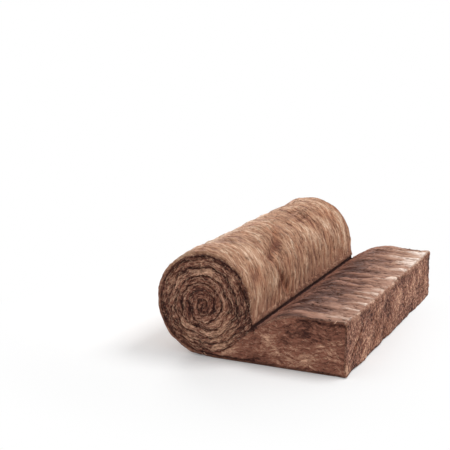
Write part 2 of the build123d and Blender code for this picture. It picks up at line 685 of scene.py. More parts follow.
    def ceiling(self, x: Array) -> Array:
        """Give the height of the batt's inner face, right of the roll's low point.

        Args:
            x: Places along X.

        Returns:
            The heights over the floor.
        """
        turn = math.radians(self.contact_angle)
        contact_x = self.roll_x + self.right_radius * math.cos(turn)
        contact_z = self.upper + self.right_radius * math.sin(turn)
        under = self.upper - np.sqrt(np.maximum(self.right_radius**2 - (x - self.roll_x) ** 2, 0.0))
        rise = contact_z - (x - contact_x) / math.tan(turn)
        run = np.clip(self.shoulder[0] - x, 0.0, self.shoulder_radius)
        shoulder = self.shoulder[1] + np.sqrt(self.shoulder_radius**2 - run**2)
        return np.where(x < contact_x, under, np.where(x < self.crease[0], rise, shoulder))


@dataclass
class EndLay:
    """How the layers lie at points of an end face: the place and direction along the
    unrolled batt, the depth in it as a share, the gap to the nearest joint, and whether
    the point is in the winding."""

    grain: Array
    flow: Array
    depth: Array
    joint: Array
    wound: Array


@dataclass
class WoundEnd:
    """The face that the batt's trimmed edge makes on one end of the roll.

    Sizes are in metres, but for the batt's first row and row space, which are in
    spacings. Each turn and each end reads its noise in a lane of its own. The face is
    sunk inside the roll's outer turn by a lip, with a shallow groove and a band of painted
    shade beside it. Fibres reach a share of their length: less near the eye, near the rim and on the batt's
    edge.
    """

    section: WoolSection
    spacing: float = 0.0038
    first_row: float = 0.43
    row_space: float = 0.87
    joint_rows: tuple[float, ...] = (0.0, 0.0025, 0.0065, 0.011, 0.015, 0.019, 0.0235, 0.0275)
    joint_width: float = 0.0026
    eye: float = 0.006
    margin: float = 0.0024
    roll_gap: float = 0.0095
    joint_reach: float = 0.015
    loose_depth: float = 0.055
    probe: float = 0.002
    turn_lane: float = 0.37
    lane: float = 0.71
    end_lane: float = 3.0
    lip_depth: float = 0.010
    lip_slope: Ease = Ease(0.002, 0.010)
    lip_rise: Ease = Ease(-0.9, 0.7)
    pillow_height: float = 0.001
    band_place: float = 0.005
    band_width: float = 0.007
    band_shades: tuple[float, float] = (0.5, 0.4)
    batt_shade: float = 0.2
    tight_rim: float = 0.020
    full_radius: float = 0.130
    turn_shares: tuple[float, float] = (0.35, 1.0)
    batt_share: float = 0.6
    rim_share: float = 0.4

    def spiral_points(self) -> Array:
        """Give points that follow the spiral, in rows beside each joint.

        Returns:
            The points, along X and Z.
        """
        section = self.section
        thick = section.wound_thickness
        found = [section.eye[None, :]]
        halves = [(section.lower, section.radius, 90.0), (section.upper, section.right_radius, -90.0)]
        for height, outer, start in halves:
            turns = range(int(outer / thick) + 1)
            radii = [outer - turn * thick - row for turn in turns for row in self.joint_rows]
            if start < 0:
                radii += [outer + row for row in self.joint_rows[1:3]]
            for number, radius in enumerate(radii):
                if radius < self.eye:
                    continue
                count = max(3, round(math.pi * radius / self.spacing))
                angles = np.radians(start + (np.arange(count) + 0.5 * (number % 2)) * 180.0 / count)
                spokes = np.column_stack([np.cos(angles), np.sin(angles)])
                found.append(np.array([section.roll_x, height]) + radius * spokes)
        return section.wind(np.vstack(found))

    def batt_points(self) -> Array:
        """Give staggered points over the batt's edge, clear of the roll.

        Returns:
            The points, along X and Z.
        """
        section, step = self.section, self.spacing
        rows = np.arange(step * self.first_row, section.batt_thickness, step * self.row_space)
        columns = np.arange(section.roll_x, section.right, step)
        grid = [
            np.column_stack([columns + 0.5 * step * (number % 2), np.full(len(columns), row)])
            for number, row in enumerate(rows)
        ]
        points = np.vstack(grid)
        arm = points - np.array([section.roll_x, section.upper])
        sag = section.sag(np.degrees(np.arctan2(arm[:, 1], arm[:, 0])))
        outside = np.hypot(*arm.T) - section.right_radius - sag
        return points[(outside > self.roll_gap) & (points[:, 1] < section.ceiling(points[:, 0]))]

    def mesh(self, ring: Array) -> tuple[Array, list[Triangle]]:
        """Fill a closed ring with triangles that follow the layers.

        Args:
            ring: The ring's points, along X and Z, clockwise.

        Returns:
            The points, with the ring's own first, and the triangles.
        """
        points = np.vstack([self.spiral_points(), self.batt_points()])
        points = points[self.clearance(points, ring) > self.margin]
        count = len(ring)
        given = [Vector(point) for point in np.vstack([ring, points])]
        rim = [(number, (number + 1) % count) for number in range(count)]
        made = delaunay_2d_cdt(given, rim, [], 1, 1e-7)
        order = [sources[0] if sources else -1 for sources in made[3]]
        if min(order) < 0:
            raise ValueError("the end face's outline crosses itself")
        faces = [tuple(order[corner] for corner in face) for face in made[2]]
        return np.vstack([ring, points]), faces

    @staticmethod
    def clearance(points: Array, ring: Array) -> Array:
        """Give how far inside a ring each point lies.

        Args:
            points: The points, along X and Z.
            ring: The ring's points.

        Returns:
            The distance to the ring, or a negative number outside it.
        """
        nearest = np.full(len(points), np.inf)
        crossings = np.zeros(len(points), dtype=int)
        for start, end in zip(ring, np.roll(ring, -1, axis=0)):
            span = end - start
            share = np.clip((points - start) @ span / (span @ span), 0.0, 1.0)
            gap = np.hypot(*(points - start - share[:, None] * span).T)
            nearest = np.minimum(nearest, gap)
            spans = (start[1] > points[:, 1]) != (end[1] > points[:, 1])
            if start[1] != end[1]:
                meet = start[0] + (points[:, 1] - start[1]) * span[0] / span[1]
                crossings += spans & (points[:, 0] < meet)
        return np.where(crossings % 2 == 1, nearest, -nearest)

    def lay(self, points: Array) -> EndLay:
        """Unroll the batt at points of the end face.

        Args:
            points: The points, along X and Z.

        Returns:
            How the layers lie there.
        """
        section = self.section
        thick = section.wound_thickness
        x, z = points.T
        left = x < section.roll_x
        arm = np.column_stack([x - section.roll_x, z - np.where(left, section.lower, section.upper)])
        reach = np.maximum(np.hypot(*arm.T), 1e-5)
        angle = np.degrees(np.arctan2(arm[:, 1], arm[:, 0]))
        outer = np.where(left, section.radius, section.right_radius)
        inward = (outer - np.where(left, reach, section.unwind(reach, angle))) / thick
        ceiling = section.ceiling(x)
        batt = ~left & (inward < 0) & (z < ceiling + self.probe)
        turn = np.where(batt, -1.0, np.floor(np.maximum(inward, 0.0)))
        depth = np.clip(np.where(batt, z / ceiling, inward - turn), 0.0, 1.0)

        nearest = np.round(inward)
        joint = np.minimum(np.abs(inward - nearest) * thick, thick)
        free = (nearest < 1) & (left | (angle > section.notch_angle))
        joint = np.where(free | (batt & (inward * thick < -self.joint_reach)), thick, joint)

        left_swept = np.mod(np.arctan2(-arm[:, 0], -arm[:, 1]), math.tau)
        swept = np.where(left, left_swept, np.arctan2(arm[:, 0], arm[:, 1]) + math.pi)
        length = reach * swept + turn * math.tau * (section.radius - turn * thick / 2)
        length = np.where(batt, section.roll_x - x, length)
        climb = section.ceiling(x + self.probe) - section.ceiling(x - self.probe)
        rise = climb / (2 * self.probe) * depth
        round_flow = np.column_stack([arm[:, 1], -arm[:, 0]]) / reach[:, None]
        level_flow = np.column_stack([-np.ones_like(rise), -rise]) / np.hypot(1.0, rise)[:, None]
        flow = np.where(batt[:, None], level_flow, round_flow)
        loose = np.where(batt, ceiling, self.loose_depth)
        grain = np.column_stack([length, depth * loose, self.turn_lane * turn + self.lane])
        return EndLay(grain, flow, depth, joint, turn >= 0)

    def lip_share(self, flat: Array) -> Array:
        """Give how far the face is sunk inside the outer turn: from 0 to 1, at the top."""
        height = (flat[:, 1] - self.section.radius) / self.section.radius
        return self.lip_rise.at(height) * (flat[:, 0] < self.section.crease[0])

    def rim_band(self, flat: Array, inside: Array) -> Array:
        """Give the painted shade of the band just inside the roll's skin.

        Args:
            flat: Points of the end face, along X and Z.
            inside: How far inside the outline each lies.

        Returns:
            Shares from 0 to 1.
        """
        even, sunk = self.band_shades
        shade = (even + sunk * self.lip_share(flat)) * (flat[:, 0] < self.section.crease[0])
        return bell(inside - self.band_place, self.band_width) * shade

    def height(self, flat: Array, inside: Array, lay: EndLay) -> Array:
        """Give how far the face stands out: each turn is a little pillow, and all are sunk.

        Args:
            flat: Points of the end face, along X and Z.
            inside: How far inside the outline each lies.
            lay: How the layers lie there.

        Returns:
            The heights.
        """
        rounded = self.pillow_height * (1 - (2 * lay.depth - 1) ** 4) * lay.wound
        slope = self.lip_slope.at(inside)
        return rounded * slope - self.lip_depth * slope * self.lip_share(flat)


@dataclass(frozen=True)
class Fade:
    """A change of the wool's tone along an axis, as strong as a number that it carries."""

    carried: str
    axis: int
    ease: Ease


# What remains of each thing at a distance from the crease: the skin's fall there paints
# shade towards the crease, and the gap both sinks a groove and paints shade in it
BY_CREASE: dict[str, Ease] = {
    "rim": Ease(0.010, 0.050, low=0.4),
    "loft": Ease(0.010, 0.060, low=0.1),
    "ripples": Ease(0.010, 0.160, low=0.3),
    "folds": Ease(0.002, 0.015),
    "streaks": Ease(0.002, 0.015),
    "gap": Ease(0.001, 0.007, low=1.0, high=0.0),
    "fibres": Ease(0.004, 0.012),
    "batt's skin": Ease(0.010, 0.360, low=0.08),
    "other skin": Ease(0.010, 0.140, low=0.4),
    "crease-shaded skin": Ease(0.000, 0.006),
}
# The batt's skin is painted darker towards the near end, a painted shade, and the roll's
# skin is painted darker low on the left, beside its rims, also painted shade.
NEAR_END_SHADE = Ease(0.00, 0.55, low=1.0, high=0.0)
LOW_DOWN = Ease(0.30, 0.39, low=1.0, high=0.0)
BY_RIM = Ease(0.008, 0.040, low=1.0, high=0.0)

# The forms of the relief: where the ripples dip and the folds crack, and where the joint
# between the turns breaks off
DIP = Ease(0.00, 0.15, low=-0.4, high=0.0)
CRACK = Ease(0.00, 0.12, low=-1.0, high=0.0)
BREAKS = Ease(0.38, 0.62, low=0.1)
BREAK_SCALE = (14.0, 0.0, 1.0)
PUSH_SCALE = (5.0, 8.0, 4.0)
LUMP_DETAIL = 1.5

# The wool's tone: how each form changes it, how it fades over the part, and the strip by
# the roll's crest that is painted paler, a painted highlight, along X, Y and Z
# Each form's weight in the tone: crests of folds, crumbs, pushed turns, lumps and ripples are painted paler,
# a painted highlight, and their hollows darker, painted shade; the joint darkens the gaps between the turns,
# and paints shade in the crease and in the band by the rim
TONES = {"fold": 0.3, "crumb": 0.3, "joint": -1.0, "push": 0.45}
LUMP_TONE = 0.25
# Painted shading: darker and warmer along the furrows, paler on the puffs, the ridge and the batt's cut edge
PAINTED_SHADING_TONE = -0.38
# Painted contact shade: the wool is painted darker in its lowest 18 mm, by the floor
PAINTED_FOOT_SHADE = Ease(0.000, 0.018, low=0.10, high=0.5)
RIPPLE_TONE = Ease(0.12, 0.36, low=0.36, high=0.65)
FADES = (
    Fade("crumbs", Z, Ease(0.15, 0.21, low=0.0, high=-0.16)),
    # Painted shade and light on the batt's inner face: darker towards the crease, paler towards the cut edge
    Fade("ripples", X, Ease(0.15, 0.40, low=-0.41, high=0.09)),
    # A painted highlight on the far part of the batt's inner face
    Fade("ripples", Y, Ease(0.10, 0.50, low=0.0, high=0.16)),
    Fade("skin", Y, Ease(0.57, 0.60, low=0.0, high=-0.25)),
    Fade("crumbs", Y, Ease(-0.60, 0.00, low=0.03, high=-0.18)),
)
# A painted highlight: the roll's skin is painted paler along its upper left, on its near half
PAINTED_CREST_HIGHLIGHT = (
    Ease(-0.29, -0.20, low=0.30, high=0.0),
    Ease(0.00, 0.35, low=1.0, high=0.0),
    Ease(0.28, 0.36),
)


@dataclass
class WoolBody:
    """The whole batt of wool: its base surface, then its relief by a geometry tree.

    Sizes are in metres. Fibres reach their full length a fibre_room from the crease and
    the cut, and a rim_room from the roll's ends.
    """

    section: WoolSection
    near: float
    far: float
    row_step: float = 0.0047
    rim_rows: int = 5
    rim_space: float = 0.016
    skin_power: float = 4.0
    thinning: float = 0.35
    swell: float = 0.0035
    swell_gap: float = 0.008
    swell_width: float = 0.006
    # A painted highlight along the batt's inner face by the cut edge
    edge_shade: float = -0.7
    edge_width: float = 0.020
    fibre_room: float = 0.045
    rim_room: float = 0.050
    shortest: tuple[float, float] = (0.25, 0.35)
    # A puff is painted paler by this much for each metre of its height, a painted highlight
    puff_shade: float = 18.0

    def base(self) -> Mesh:
        """Build the smooth surface, with the numbers that its relief and finish need.

        Returns:
            The closed mesh.
        """
        side, values = self.side(self.section.walk())
        rows, count = side.shape[:2]
        blocks = [side.reshape(-1, 3)]
        faces = self.side_faces(rows, count)
        for row, sign in ((0, -1.0), (rows - 1, 1.0)):
            points, triangles, own = self.end(side[row], sign)
            base = sum(len(block) for block in blocks) - count
            fresh = np.arange(len(points)) + base
            fresh[:count] = row * count + np.arange(count)
            turned = [tuple(int(fresh[corner]) for corner in face) for face in triangles]
            faces += turned if sign < 0 else [face[::-1] for face in turned]
            blocks.append(points[count:])
            for name, array in own.items():
                values[name] = np.concatenate([values[name], array[count:]])
        places = np.vstack(blocks)
        for furrow in FURROWS.values():
            share = furrow.share(places)
            values["shape"] = values["shape"] - furrow.depth * share
            values["pressed"] = values["pressed"] + furrow.shade * share
        for puff in PUFFS:
            raised = puff.height * puff.share(places)
            values["shape"] = values["shape"] + raised
            values["pressed"] = values["pressed"] - self.puff_shade * raised
        mesh = bpy.data.meshes.new("wool_base")
        mesh.from_pydata(places.tolist(), [], faces)
        for name, array in values.items():
            kind, field = ("FLOAT_VECTOR", "vector") if array.ndim == 2 else ("FLOAT", "value")
            attribute = mesh.attributes.new(name, kind, "POINT")
            attribute.data.foreach_set(field, array.astype(np.float32).ravel())
        mesh.polygons.foreach_set("use_smooth", np.ones(len(mesh.polygons), dtype=bool))
        return mesh

    def side(self, walk: Walk) -> tuple[Array, dict[str, Array]]:
        """Sweep the section from end to end, with rounded rims.

        Args:
            walk: The walk round the section.

        Returns:
            The points by row and station, and the numbers at each.
        """
        crease_gap, edge_gap = walk.distance(Zone.CREASE), walk.distance(Zone.CUT)
        remains = {name: ease.at(crease_gap) for name, ease in BY_CREASE.items()}
        inner = np.arange(self.near + self.rim_space, self.far - self.rim_space + 1e-6, self.row_step)
        inner += (self.far - self.rim_space - inner[-1]) / 2
        rim = walk.shares("rim") * remains["rim"]
        turns = np.linspace(0.0, math.pi / 2, self.rim_rows)
        rows = [(self.near + rim * (1 - math.cos(turn)), 1 - math.sin(turn)) for turn in turns]
        rows += [(np.full(len(rim), y), 0.0) for y in inner]
        rows += [(self.far - rim * (1 - math.cos(turn)), 1 - math.sin(turn)) for turn in turns[::-1]]
        outward = in_space(walk.outward(), 0 * rim)
        side = np.array([in_space(walk.place, y) - (edge * rim)[:, None] * outward for y, edge in rows])
        edges = np.array([edge for _, edge in rows])
        shape = side.shape[:2]

        def over_rows(numbers: Array) -> Array:
            """Repeat the stations' numbers on every row."""
            return np.broadcast_to(numbers, (*shape, *numbers.shape[1:])).reshape(-1, *numbers.shape[1:])

        def spread(name: str, power: float = 1.0) -> Array:
            """Carry one of the nap's numbers over every row, eased to the end's at the rims."""
            end = getattr(NAPS[Zone.END], name)
            share = edges[:, None] ** power
            return (walk.shares(name)[None, :] * (1 - share) + end * share).ravel()

        y = side[..., 1].ravel()
        rim_gap = np.minimum(y - self.near, self.far - y)
        on_batt = np.array([zone is Zone.BATT for zone in walk.zone])
        whole = over_rows(np.where(on_batt, remains["batt's skin"], remains["other skin"]))
        whole = whole * (1 - self.thinning * over_rows(on_batt) * NEAR_END_SHADE.at(y))
        whole = whole * over_rows(remains["crease-shaded skin"])
        low_left = (walk.place[:, 0] < self.section.roll_x) * LOW_DOWN.at(walk.place[:, 1])
        low_left_rim_shade = over_rows(low_left) * BY_RIM.at(rim_gap)
        slant = walk.shares("slant")
        lean = np.cumsum(slant * np.diff(walk.length, prepend=0.0))
        least, rim_least = self.shortest
        reach = over_rows(np.clip(np.minimum(crease_gap, edge_gap) / self.fibre_room, least, 1.0))

        values = {name: spread(name) * over_rows(remains[name]) for name in CARRIED if name in remains}
        values |= {name: spread(name) for name in CARRIED if name not in remains}
        values |= {
            "grain": np.column_stack([over_rows(walk.length), y + over_rows(lean), 0 * y]),
            "flow": over_rows(in_space(walk.heading, -slant)),
            "skin": spread("skin", self.skin_power) * whole * (1 - low_left_rim_shade),
            "gap": over_rows(remains["gap"]),
            "pressed": over_rows(self.edge_shade * on_batt * bell(edge_gap, self.edge_width)),
            "shape": over_rows(self.swell * bell(crease_gap - self.swell_gap, self.swell_width)),
            "slack": 0 * y,
            "reach": reach * np.clip(rim_least + rim_gap / self.rim_room, rim_least, 1.0),
            "shift": np.zeros((y.size, 3)),
        }
        for zone in Zone:
            here = np.array([own is zone for own in walk.zone])
            values[f"on_{zone.value}"] = over_rows(here * remains["fibres"])
        return side, values

    @staticmethod
    def side_faces(rows: int, count: int) -> list[tuple[int, ...]]:
        """Join the side's points into faces.

        Args:
            rows: The number of rows.
            count: The number of stations in each.

        Returns:
            The faces, pointing outwards.
        """
        faces = []
        for near in range(0, (rows - 1) * count, count):
            for number in range(count):
                after = (number + 1) % count
                faces.append((near + number, near + after, near + count + after, near + count + number))
        return faces

    def end(self, ring: Array, sign: float) -> tuple[Array, list[Triangle], dict[str, Array]]:
        """Build one end face.

        Args:
            ring: The points of the side's last row.
            sign: -1 for the near end and 1 for the far end.

        Returns:
            The points, with the ring's own first, the triangles and the numbers at each point.
        """
        face = WoundEnd(self.section)
        flat, triangles = face.mesh(ring[:, [X, Z]])
        lay = face.lay(flat)
        depth = WoundEnd.clearance(flat, ring[:, [X, Z]])
        depth[: len(ring)] = 0.0
        nothing = np.zeros(len(flat))
        radius = np.hypot(flat[:, 0] - self.section.roll_x, flat[:, 1] - self.section.radius)
        length = np.where(lay.wound, np.clip(radius / face.full_radius, *face.turn_shares), face.batt_share)
        naps = [(name, getattr(NAPS[Zone.END], name), getattr(BATT_EDGE, name)) for name in CARRIED]
        values = {name: np.where(lay.wound, wound, loose) for name, wound, loose in naps}
        values |= {
            "grain": lay.grain + np.array([0.0, 0.0, face.end_lane * sign]),
            "flow": in_space(lay.flow, nothing),
            "gap": np.maximum(bell(lay.joint, face.joint_width), face.rim_band(flat, depth)),
            "pressed": np.where(lay.wound, 0.0, face.batt_shade),
            "shape": face.height(flat, depth, lay),
            "slack": smoothstep(depth, 0.0, face.tight_rim),
            "reach": length * np.clip(depth / face.tight_rim, face.rim_share, 1.0),
            "shift": in_space(self.section.settle(flat), nothing),
        }
        for zone in Zone:
            values[f"on_{zone.value}"] = nothing + float(zone is Zone.END)
        y = self.near if sign < 0 else self.far
        return in_space(flat, nothing + y), triangles, values

    @staticmethod
    def forms(write: NodeWriter, position: Socket, lump_size: Socket) -> dict[str, Socket]:
        """Write the forms of the relief.

        Args:
            write: The relief tree's writer.
            position: The place in space.
            lump_size: How far the lumps lie apart.

        Returns:
            The forms by name, from about -1 to 1, and the combed coordinates.
        """
        grain = write.carried("grain", "FLOAT_VECTOR")
        slack, folds = write.carried("slack"), write.carried("folds")
        combed = write.vector("ADD", grain, write.strayed(position, DRIFT))
        combed = write.vector("SCALE", combed, write.carried("fineness"))
        lumps = write.vector("SCALE", position, write.math("DIVIDE", 1.0, lump_size))
        crumbs = write.vector("SCALE", position, 1.0 / CRUMBS.across)
        ripple, fold = write.drawn(combed, RIPPLES), write.drawn(combed, FOLDS)
        rippled = write.total(ripple, write.eased(write.math("ABSOLUTE", ripple), DIP))
        broken = write.eased(write.noise(write.vector("MULTIPLY", grain, BREAK_SCALE), 2.0), BREAKS)
        broken = write.math("MAXIMUM", broken, write.math("SUBTRACT", 1.0, slack))
        return {
            "combed": combed,
            "lump": write.signed(lumps, LUMP_DETAIL),
            "ripple": write.product(rippled, write.carried("ripples")),
            "fold": write.product(fold, folds),
            "crack": write.product(write.eased(write.math("ABSOLUTE", fold), CRACK), folds),
            "streak": write.product(write.drawn(combed, STREAKS), write.carried("streaks")),
            "crumb": write.product(write.signed(crumbs, CRUMBS.detail), write.carried("crumbs")),
            "joint": write.product(write.carried("gap"), broken),
            "push": write.product(write.signed(write.vector("MULTIPLY", grain, PUSH_SCALE), 1.0), slack),
        }

    @staticmethod
    def tone(write: NodeWriter, position: Socket, forms: dict[str, Socket]) -> Socket:
        """Write how light the wool is: its own mottling, with painted shade in its hollows and painted light
        on its crests.

        Args:
            write: The relief tree's writer.
            position: The place in space.
            forms: The forms of the relief, by name.

        Returns:
            The tone, from 0 in the darkest hollows to 1 on the palest crests.
        """
        apart = write.node("ShaderNodeSeparateXYZ", {0: position}).outputs
        crest_highlight = [write.eased(apart[axis], ease) for axis, ease in enumerate(PAINTED_CREST_HIGHLIGHT)]
        fades = [(write.carried(fade.carried), write.eased(apart[fade.axis], fade.ease)) for fade in FADES]
        level = write.total(
            write.eased(apart[Z], PAINTED_FOOT_SHADE),
            write.product(*crest_highlight, write.carried("skin")),
            write.product(forms["ripple"], write.eased(apart[X], RIPPLE_TONE)),
            write.product(forms["lump"], write.carried("loft"), LUMP_TONE),
            write.product(write.carried("pressed"), PAINTED_SHADING_TONE),
            *(write.product(forms[name], weight) for name, weight in TONES.items()),
            *(write.product(*fade) for fade in fades),
        )
        return write.node("ShaderNodeClamp", {"Value": level, "Min": 0.0, "Max": 1.0}).outputs[0]

    def relief_tree(self) -> Tree:
        """Write the rule for the wool's relief.

        Returns:
            The geometry tree.
        """
        inputs = {
            "Geometry": "Geometry",
            "Lump Height": 0.012,
            "Lump Size": 0.11,
            "Ripple Height": 0.014,
            "Fold Height": 0.005,
            "Streak Height": 0.004,
            "Crumb Height": 0.006,
            "Joint Depth": 0.010,
            "Joint Wander": 0.026,
            "Turn Height": 0.008,
            "Most Growth": 0.010,
            "Material": "Material",
        }
        write, size = NodeWriter.group("wool_relief", "Geometry", inputs)
        position = write.node("GeometryNodeInputPosition", {}).outputs[0]
        normal = write.node("GeometryNodeInputNormal", {}).outputs[0]
        forms = self.forms(write, position, size["Lump Size"])
        growth = write.total(
            write.carried("shape"),
            write.product(forms["push"], size["Turn Height"]),
            write.product(forms["lump"], size["Lump Height"], write.carried("loft")),
            write.product(forms["ripple"], size["Ripple Height"]),
            write.product(write.total(forms["fold"], forms["crack"]), size["Fold Height"]),
            write.product(forms["streak"], size["Streak Height"]),
            write.product(forms["crumb"], size["Crumb Height"]),
            write.product(forms["joint"], write.product(size["Joint Depth"], -1.0)),
        )
        raised = write.vector("SCALE", normal, write.math("MINIMUM", growth, size["Most Growth"]))
        loose = write.product(size["Joint Wander"], write.carried("slack"))
        wander = write.vector("SCALE", write.strayed(position, WANDER), loose)
        moved = write.vector("ADD", position, write.carried("shift", "FLOAT_VECTOR"))
        moved = write.vector("ADD", write.vector("ADD", moved, raised), wander)
        moved = write.vector("MAXIMUM", moved, FLOOR)

        kept = write.store(size["Geometry"], "relief", self.tone(write, position, forms))
        kept = write.store(kept, "combed", forms["combed"], "FLOAT_VECTOR")
        shaped = write.node("GeometryNodeSetPosition", {"Geometry": kept, "Position": moved}).outputs[0]
        whole = write.node("GeometryNodeRealizeInstances", {"Geometry": shaped}).outputs[0]
        feeds = {"Geometry": whole, "Material": size["Material"]}
        return write.close("Geometry", "Geometry", write.node("GeometryNodeSetMaterial", feeds).outputs[0])

    def build(self, finish: Material) -> Object:
        """Build the body and dress it in the matted wool's material."""
        host = place("wool_base", self.base())
        return place("matted_wool", run_tree(host, self.relief_tree(), {"Material": finish}))


# The places along a lock, from -0.5 to 0.5, where it has a girth
LONG_LOCK = (-0.27, 0.02, 0.30)
SHORT_LOCK = (-0.20, 0.18)
# A layer's three shapes of lock: what is added to its curve, and their shares of its
# lift and sway
LOCK_SHAPES = {
    "First Lock": (0.0, 0.6, 0.6),
    "Second Lock": (0.2, 0.2, -0.8),
    "Third Lock": (-0.2, 1.0, 1.0),
}
# What is drawn for each lock: the least and the most, and what is added to the layer's seed
CHANCES = {
    "tone": (0.0, 1.0, 11),
    "side": (-1.0, 1.0, 21),
    "stray": (0.2, 1.8, 22),
    "pitch": (-1.0, 0.3, 23),
    "length": (0.5, 1.3, 31),
    "width": (0.5, 1.5, 32),
    "thickness": (0.6, 1.4, 33),
}


@dataclass(frozen=True)
class FibreLayer:
    """Locks of fibre laid along the grain of one part of the body.

    Length, width and thickness are in metres and tilt in radians. Lift is how far a
    lock's tip rises, and curve how far its ends drop below its middle to follow the
    surface, both in thicknesses. Sway is how far it strays sideways, in widths, over
    sway_turns of a wave.
    """

    name: str
    zone: Zone
    locks: int
    length: float
    width: float
    thickness: float
    tilt: float
    lift: float
    curve: float
    sway: float
    stations: tuple[float, ...]
    seed: int
    sway_turns: float = 0.8

    def lock(self, bend: float, lift: float, sway: float) -> Object:
        """Build one lock of size 1: a spindle of three sides that bends and lifts.

        Args:
            bend: How far its ends drop below its middle, in thicknesses.
            lift: How far its tip rises, in thicknesses.
            sway: How far its middle strays sideways, in widths.

        Returns:
            A helper object.
        """
        points, along = [], []
        for station in (-0.5, *self.stations, 0.5):
            girth = 0.5 * math.sqrt(max(0.0, 1 - 4 * station**2))
            side = sway * math.sin(math.tau * (station + 0.5) * self.sway_turns)
            up = lift * max(0.0, station) ** 2 * 4 - bend * 4 * station**2
            for corner in range(3 if girth else 1):
                angle = math.tau * (corner / 3 + 0.25)
                points.append((station, side + girth * math.cos(angle), up + girth * math.sin(angle)))
                along.append(station + 0.5)
        faces = []
        last = len(points) - 4
        for corner in range(3):
            after = (corner + 1) % 3
            faces.append((0, 1 + after, 1 + corner))
            for ring in range(1, last, 3):
                faces.append((ring + corner, ring + after, ring + 3 + after, ring + 3 + corner))
            faces.append((last + corner, last + after, last + 3))
        mesh = bpy.data.meshes.new("fibre_lock")
        mesh.from_pydata(points, [], faces)
        mesh.polygons.foreach_set("use_smooth", np.ones(len(faces), dtype=bool))
        mesh.attributes.new("along", "FLOAT", "POINT").data.foreach_set("value", along)
        return place("fibre_lock", mesh)

    @staticmethod
    def tree() -> Tree:
        """Write the rule by which the locks lie.

        Returns:
            The geometry tree.
        """
        inputs = {
            "Geometry": "Geometry",
            "First Lock": "Object",
            "Second Lock": "Object",
            "Third Lock": "Object",
            "Where": "String",
            "Density": 8000.0,
            "Length": 0.06,
            "Width": 0.003,
            "Thickness": 0.0012,
            "Tilt": 0.05,
            "Seed": 1,
            "Material": "Material",
        }
        write, size = NodeWriter.group("laid_fibres", "Geometry", inputs)

        def chance(name: str) -> Socket:
            """Give each lock a number of its own."""
            low, high, salt = CHANCES[name]
            feeds = {2: low, 3: high, "Seed": write.math("ADD", size["Seed"], salt)}
            return write.node("FunctionNodeRandomValue", feeds).outputs[1]

        density = write.product(size["Density"], write.carried(size["Where"]))
        feeds = {"Mesh": size["Geometry"], "Density": density, "Seed": size["Seed"]}
        scatter = write.node("GeometryNodeDistributePointsOnFaces", feeds, distribute_method="RANDOM")
        toned = write.store(scatter.outputs["Points"], "tone", chance("tone"))
        axes = {0: scatter.outputs["Normal"], 1: write.carried("flow", "FLOAT_VECTOR")}
        upright = write.node("FunctionNodeAxesToRotation", axes, primary_axis="Z", secondary_axis="X")
        yaw = write.product(write.product(chance("side"), chance("stray")), write.carried("scatter"))
        pitch = write.product(chance("pitch"), size["Tilt"])
        twist = write.node("FunctionNodeEulerToRotation", {0: write.combine(0.0, pitch, yaw)}).outputs[0]
        turns = {0: upright.outputs[0], 1: twist}
        turned = write.node("FunctionNodeRotateRotation", turns, rotation_space="LOCAL").outputs[0]
        along = write.product(size["Length"], chance("length"), write.carried("reach"))
        across = write.product(size["Width"], chance("width"))
        thick = write.product(size["Thickness"], chance("thickness"))
        joined = write.node("GeometryNodeJoinGeometry", {})
        for name in LOCK_SHAPES:
            info = write.node("GeometryNodeObjectInfo", {"Object": size[name], "As Instance": True})
            write.wire(joined, {0: info.outputs["Geometry"]})
        feeds = {
            "Points": toned,
            "Instance": joined.outputs[0],
            "Pick Instance": True,
            "Instance Index": write.node("GeometryNodeInputIndex", {}).outputs[0],
            "Rotation": turned,
            "Scale": write.combine(along, across, thick),
        }
        laid = write.node("GeometryNodeInstanceOnPoints", feeds).outputs[0]
        whole = write.node("GeometryNodeRealizeInstances", {"Geometry": laid}).outputs[0]
        above = write.vector("MAXIMUM", write.node("GeometryNodeInputPosition", {}).outputs[0], FLOOR)
        lifted = write.node("GeometryNodeSetPosition", {"Geometry": whole, "Position": above}).outputs[0]
        feeds = {"Geometry": lifted, "Material": size["Material"]}
        return write.close("Geometry", "Geometry", write.node("GeometryNodeSetMaterial", feeds).outputs[0])

    def area(self, body: Mesh) -> float:
        """Measure what the layer covers.

        Args:
            body: The body's mesh.

        Returns:
            The area, in square metres.
        """
        mask = np.zeros(len(body.vertices), dtype=np.float32)
        body.attributes[f"on_{self.zone.value}"].data.foreach_get("value", mask)
        areas = np.zeros(len(body.polygons), dtype=np.float32)
        body.polygons.foreach_get("area", areas)
        first = np.array([polygon.vertices[0] for polygon in body.polygons])
        return float((areas * mask[first]).sum())

    def build(self, body: Object, finish: Material) -> Object:
        """Lay the locks on the body.

        Args:
            body: The finished body.
            finish: The fibres' material.

        Returns:
            The finished piece.
        """
        shapes = {
            name: self.lock(self.curve + bend, lift * self.lift, sway * self.sway)
            for name, (bend, lift, sway) in LOCK_SHAPES.items()
        }
        values = shapes | {
            "Where": f"on_{self.zone.value}",
            "Density": self.locks / self.area(body.data),
            "Length": self.length,
            "Width": self.width,
            "Thickness": self.thickness,
            "Tilt": self.tilt,
            "Seed": self.seed,
            "Material": finish,
        }
        host = place("fibre_base", body.data.copy())
        mesh = run_tree(host, self.tree(), values)
        for shape in shapes.values():
            bpy.data.objects.remove(shape)
        return place(self.name, mesh)


